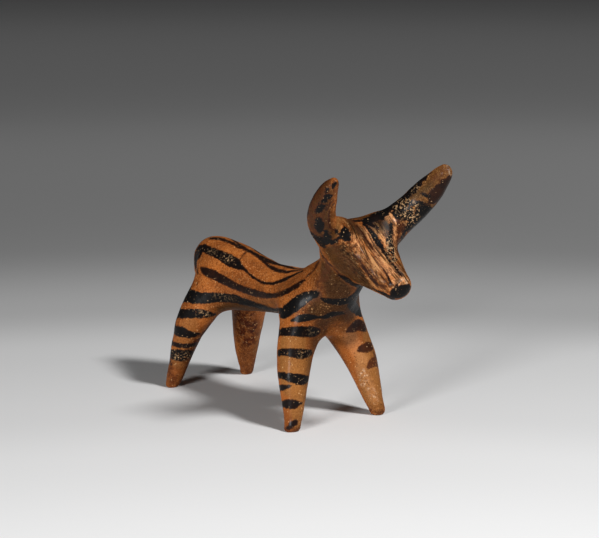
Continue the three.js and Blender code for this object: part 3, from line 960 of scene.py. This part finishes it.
def dots(size, radius, share, lot=0):
    """Round dots of that radius in millimetres, one to a cell of that size, in a share of the cells."""
    shift = {0: millimetres, 1: (lot, lot, lot)}
    moved = bench.node("ShaderNodeVectorMath", shift, {"operation": "ADD"})
    sockets = {"Vector": moved, "Scale": 1 / size}
    reach = radius / size
    away = bench.node("ShaderNodeTexVoronoi", sockets, out="Distance")
    chance = bench.node("ShaderNodeTexVoronoi", sockets, out="Color")
    chosen = bench.node("ShaderNodeSeparateColor", {"Color": chance})
    return (1 - away.step(reach * DOT_CORE, reach)) * (1 - chosen.step(share - HAIR, share + HAIR))


def kept(name):
    """A number kept on the skin under that name."""
    return bench.node("ShaderNodeAttribute", None, {"attribute_name": name}, out="Fac")


def layered(base, *layers, blend="MIX"):
    """Colours laid over a base in turn; each layer is where it lies, how thickly, and its colour."""
    for where, thickness, over in layers:
        base = (where * thickness).mix(base, over, blend)
    return base


print("shader bench ready")

# %% [markdown]
# Fired clay is a warm orange with slow drifts of tone and a sandy grain, weaker where it was rubbed
# smooth. Painted light lies in it too: the lit face is painted rosier, painted highlights are chalky, and
# painted shade darkens the hollows. The largest patterns come first, with the finer ones over them.

# %% The clay
ORANGE = colour(170, 96, 40)
BURNT = colour(112, 54, 20)
# dark for the brush streaks on the face and, as painted shade, for the hollows of the skin
DARK_STREAK_AND_SHADE = colour(62, 36, 15)
ROSY_AND_LIT = colour(236, 166, 112)
CHALK_AND_HIGHLIGHT = colour(244, 214, 180)
OCHRE = colour(134, 92, 47)
DARK_GRIT = colour(60, 30, 14)
PALE_SAND = colour(226, 168, 108)
RUBBED_AWAY = 0.6

drift = grain(9, detail=3, lot=1).step(0.35, 0.68)
mottle = grain(1.6, rough=0.62, lot=2).step(0.38, 0.7)
sand = grain(0.34, detail=2, lot=3)
blotches = grain(0.8, rough=0.65, lot=16).step(0.54, 0.68)
chalk_and_glint_flecks = grain(0.9, rough=0.65, lot=20).step(0.5, 0.62)
coarse = 1 - kept("rubbed") * RUBBED_AWAY
plain_clay = layered(
    ORANGE,
    (drift, 0.55, BURNT),
    (kept("ochre"), 0.85, OCHRE),
    # painted light: the lit face and the far fore leg are painted rosier
    (kept("rosy_and_lit"), 0.55 + 0.45 * mottle, ROSY_AND_LIT),
    # painted highlights: chalky flecks on the snout's rim, the horn's tip and the far fore leg
    (kept("chalk_and_highlight"), chalk_and_glint_flecks, CHALK_AND_HIGHLIGHT),
    (mottle * coarse, 0.42, BURNT),
    # painted shade: the clay is darkened in the hollows of the skin
    (kept("hollow_shade"), 0.8, DARK_STREAK_AND_SHADE),
    (sand.step(0.46, 0.72) * coarse, 0.6, DARK_GRIT),
    (sand.step(0.5, 0.3) * coarse, 0.3, PALE_SAND),
    (blotches * coarse, 0.55, DARK_GRIT),
)
print("plain clay mixed")

# %% [markdown]
# Over the plain clay lie the streaks that a brush dragged down the face, broad ones and hairs, then soot
# and umber, which tint what is under them and also hold painted shadow and shade, then dark and pale
# grits, the pale ones in clusters.

# %% Streaks, soot and grit
# Tints for the soot and the umber, which also paint shadow and shade.
SOOT_AND_SHADOW_TINT = (0.25, 0.15, 0.14, 1)
UMBER_AND_SHADE_TINT = (0.21, 0.26, 0.3, 1)
PALE_GRIT = colour(216, 170, 118)
FACE_SLOPE = math.radians(37)
STREAK_LENGTH = 12

brushed = bench.node(
    "ShaderNodeMapping",
    {"Vector": millimetres, "Rotation": (0, FACE_SLOPE, 0), "Scale": (STREAK_LENGTH, 1, 1)},
    {"vector_type": "TEXTURE"},
)


def dragged(scale, detail, rough):
    """Noise drawn out along the slope of the face, as a brush leaves it."""
    sockets = {"Vector": brushed, "Scale": scale, "Detail": detail, "Roughness": rough}
    return bench.node("ShaderNodeTexNoise", sockets)


streaky, streaks, hairs = kept("streaky"), dragged(0.8, 4, 0.6), dragged(2.2, 2, 0.5)
scorch_and_shadow_mottle = grain(1.8, rough=0.62, lot=18).step(0.4, 0.56)
dark_chips = grain(0.6, detail=3, rough=0.6, lot=22).step(0.58, 0.64)
pale_chips = grain(0.6, detail=3, rough=0.6, lot=23).step(0.6, 0.66)
clusters = grain(4, detail=2, lot=24).step(0.4, 0.6) * 0.75 + 0.15
pale_dots = (dots(1.5, 0.27, 0.4, lot=5) + dots(0.9, 0.17, 0.5, lot=17)) * clusters
brushed_clay = layered(
    plain_clay,
    (streaky * streaks.step(0.48, 0.58), 0.85, DARK_STREAK_AND_SHADE),
    (streaky * streaks.step(0.46, 0.34), 0.35, PALE_SAND),
    (streaky * hairs.step(0.54, 0.6), 0.75, DARK_STREAK_AND_SHADE),
    (streaky * hairs.step(0.43, 0.37), 0.4, PALE_SAND),
    (dots(1.1, 0.2, 0.3, lot=4), 0.75, DARK_GRIT),
)
# Painted shadow and shade darken the clay here along with the soot and the umber.
tinted_clay = layered(
    brushed_clay,
    (kept("soot_and_shadow"), 0.25 + 0.75 * scorch_and_shadow_mottle, SOOT_AND_SHADOW_TINT),
    (kept("umber_and_shade"), 1, UMBER_AND_SHADE_TINT),
    blend="MULTIPLY",
)
body_clay = layered(
    tinted_clay,
    (kept("gritty") * dark_chips, 0.8, DARK_GRIT),
    (kept("gritty") * pale_chips, 0.5, PALE_SAND),
    (pale_dots, 0.9 - kept("umber_and_shade") * 0.45, PALE_GRIT),
)
print("clay colours mixed")

# %% [markdown]
# Slip is iron-rich clay that fired nearly black where it is thick and brown where it is thin. Noise
# frays its edges, flakes of it have come off where its wear is high, and pale specks and scuffs show
# through it. Under it lie the washes that stain the clay.

# %% The slip
BLACK = colour(15, 13, 13)
BROWN = colour(78, 40, 20)
BARE_FLECK = colour(200, 160, 116)
GREY = colour(56, 55, 54)
WASH = colour(76, 40, 20)
EVEN_FRAY, RAGGED_FRAY, FINE_FRAY = 0.52, 2.08, 0.5
SLIP_EDGE = 0.2
FLAKED_WEAR = 0.1
FLAKE_BARE = 0.92
THIN_AT_EDGE, UNEVEN = 0.3, 0.5

fray = (grain(1.5, rough=0.65, lot=6) - 0.5) * (EVEN_FRAY + kept("slip_ragged") * RAGGED_FRAY)
fine_fray = (grain(0.4, detail=2, lot=7) - 0.5) * FINE_FRAY
depth_of_slip = kept("slip_depth") + fray + fine_fray
wear = kept("slip_worn") + kept("flaked") * FLAKED_WEAR
flakes = (grain(0.62, rough=0.6, lot=8) + wear * 0.5).step(0.78, 0.84)
slip = depth_of_slip.step(-SLIP_EDGE, SLIP_EDGE) * (1 - flakes * FLAKE_BARE)

at_edge = 1 - depth_of_slip.step(0.0, 0.5)
thin = kept("slip_brown") + (grain(2.2, detail=3, lot=11) - 0.5) * UNEVEN + at_edge * THIN_AT_EDGE
slip_colour = thin.step(0.0, 1.0).mix(BLACK, BROWN)
scuffs = kept("flaked") * grain(0.7, detail=3, rough=0.62, lot=21).step(0.53, 0.58)
specks = dots(1.3, 0.26, 0.5, lot=10) + dots(0.8, 0.16, 0.5, lot=19)
speckled = specks * (clusters + kept("flaked") * 0.5)
worn_slip = layered(slip_colour, (speckled + scuffs, 0.7, BARE_FLECK))

stained = layered(
    body_clay,
    (kept("brown_wash"), grain(1.1, rough=0.6, lot=12).step(0.35, 0.62), WASH),
    (kept("grey_wash"), grain(0.9, rough=0.65, lot=13).step(0.25, 0.52), GREY),
)
painted = slip.mix(stained, worn_slip)
print("slip laid over the clay")

# %% [markdown]
# The slip is smoother than the clay, and both have a broken sheen. A thin clear coat draws the narrow
# highlights. The finest relief, a tenth of a millimetre at most, is left to the shader: sandy grain,
# pits and the thickness of the slip itself.

# %% The surface
CLAY_ROUGHNESS = 0.52
SLIP_ROUGHNESS = 0.36
UNEVEN_ROUGHNESS, SAND_ROUGHNESS = 0.22, 0.08
SAND_HEIGHT, MOTTLE_HEIGHT, SLIP_HEIGHT, PIT_DEPTH = 0.045, 0.05, 0.03, 0.1
GLOSS = 0.06
SHEEN, SHEEN_ROUGHNESS = 0.06, 0.18

pits = dots(1.7, 0.22, 0.35, lot=14)
uneven = (grain(5, detail=3, lot=15) - 0.5) * UNEVEN_ROUGHNESS + sand * SAND_ROUGHNESS
roughness = CLAY_ROUGHNESS - slip * (CLAY_ROUGHNESS - SLIP_ROUGHNESS) + uneven
relief = sand * SAND_HEIGHT + mottle * MOTTLE_HEIGHT + slip * SLIP_HEIGHT - pits * PIT_DEPTH
bumped = bench.node("ShaderNodeBump", {"Strength": 1.0, "Distance": MM, "Height": relief})
surface = bench.node("ShaderNodeBsdfPrincipled", {
    "Base Color": painted, "Roughness": roughness, "Normal": bumped, "Specular IOR Level": GLOSS,
    "Coat Weight": SHEEN, "Coat Roughness": SHEEN_ROUGHNESS,
})
bench.node("ShaderNodeOutputMaterial", {"Surface": surface})
dented.shade_smooth()
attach(bull, "root")
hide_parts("bull")
print("material:", len(clay.node_tree.nodes), "nodes")

# %% [markdown]
# The bull stands on a pale sheet, and its colour holds painted light: it darkens away from a pool of light
# in front of the bull and brightens again far behind, as a lit sweep of paper does. One wide mesh is
# enough, with the painted light in its material: how bright it is at some distances, in metres, from a
# spot in front of the bull.

# %% The floor
FLOOR_REACH = 4.0
POOL_AHEAD = 0.30
POOL_MIDDLE = Vector((BACK.x, BACK.y, 0)).normalized() * POOL_AHEAD
# Painted light: the floor's brightness at distances, in metres, from the pool in front of the bull.
PAINTED_LIGHT_TONES = (
    (0.17, 0.86), (0.25, 0.8), (0.30, 0.73), (0.385, 0.70), (0.454, 0.51), (0.583, 0.33), (1.017, 0.54),
    (1.87, 1.06),
)
PAPER_ROUGHNESS = 0.9
floor_mesh = bpy.data.meshes.new("floor")
corners = [(x * FLOOR_REACH, y * FLOOR_REACH, 0) for x, y in ((-1, -1), (1, -1), (1, 1), (-1, 1))]
floor_mesh.from_pydata(corners, [], [(0, 1, 2, 3)])
floor = placed("floor", floor_mesh)
paper, sheet = new_material("pale_paper")
from_pool = sheet.node("ShaderNodeTexCoord", out="Object").distance(POOL_MIDDLE)
painted_light = PAINTED_LIGHT_TONES[0][1]
for (near, here), (far, there) in zip(PAINTED_LIGHT_TONES, PAINTED_LIGHT_TONES[1:]):
    painted_light = painted_light + from_pool.step(near, far) * (there - here)
painted_light_grey = sheet.node("ShaderNodeCombineColor", {"Red": painted_light, "Green": painted_light, "Blue": painted_light})
matt = sheet.node("ShaderNodeBsdfPrincipled", {"Base Color": painted_light_grey, "Roughness": PAPER_ROUGHNESS})
sheet.node("ShaderNodeOutputMaterial", {"Surface": matt})
floor_mesh.materials.append(paper)
floor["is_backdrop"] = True
print("floor reaches", FLOOR_REACH, "m each way")

# %% [markdown]
# The shadows fall to the left and a little away, so the main lamp is a soft box high on the right,
# towards the front. A weaker, wider one on the left fills the near side and draws the long highlights
# on the legs. The room itself gives almost no light.

# %% The lamps
def lamp(name, azimuth, elevation, distance, size, power):
    """A square soft lamp that looks at the bull from an azimuth and elevation in degrees."""
    light = bpy.data.lights.new(name, "AREA")
    light.size = size
    light.energy = power
    towards = direction(math.radians(azimuth), math.radians(elevation))
    turned = towards.to_track_quat("Z", "Y").to_matrix().to_4x4()
    placed(name, light).matrix_world = Matrix.Translation(AIM + towards * distance) @ turned


ROOM_LIGHT = (0.015, 0.015, 0.015, 1)
lamp("main_lamp", azimuth=100, elevation=48, distance=0.9, size=0.14, power=7.4)
lamp("fill_lamp", azimuth=20, elevation=12, distance=0.9, size=0.22, power=5.6)
room = bpy.data.worlds.new("room")
room.use_nodes = True
room.node_tree.nodes["Background"].inputs["Color"].default_value = ROOM_LIGHT
scene.world = room

# %% [markdown]
# Last, the sizes of the dressed bull and of the solid it stands for are measured and printed.

# %% Measure and finish
size = {"cad": [list(corner) for corner in cad_box], "visual": [list(corner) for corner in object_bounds()]}
for name, (low, high) in size.items():
    print(name, [round((h - l) * 1000, 2) for l, h in zip(low, high)], "mm")
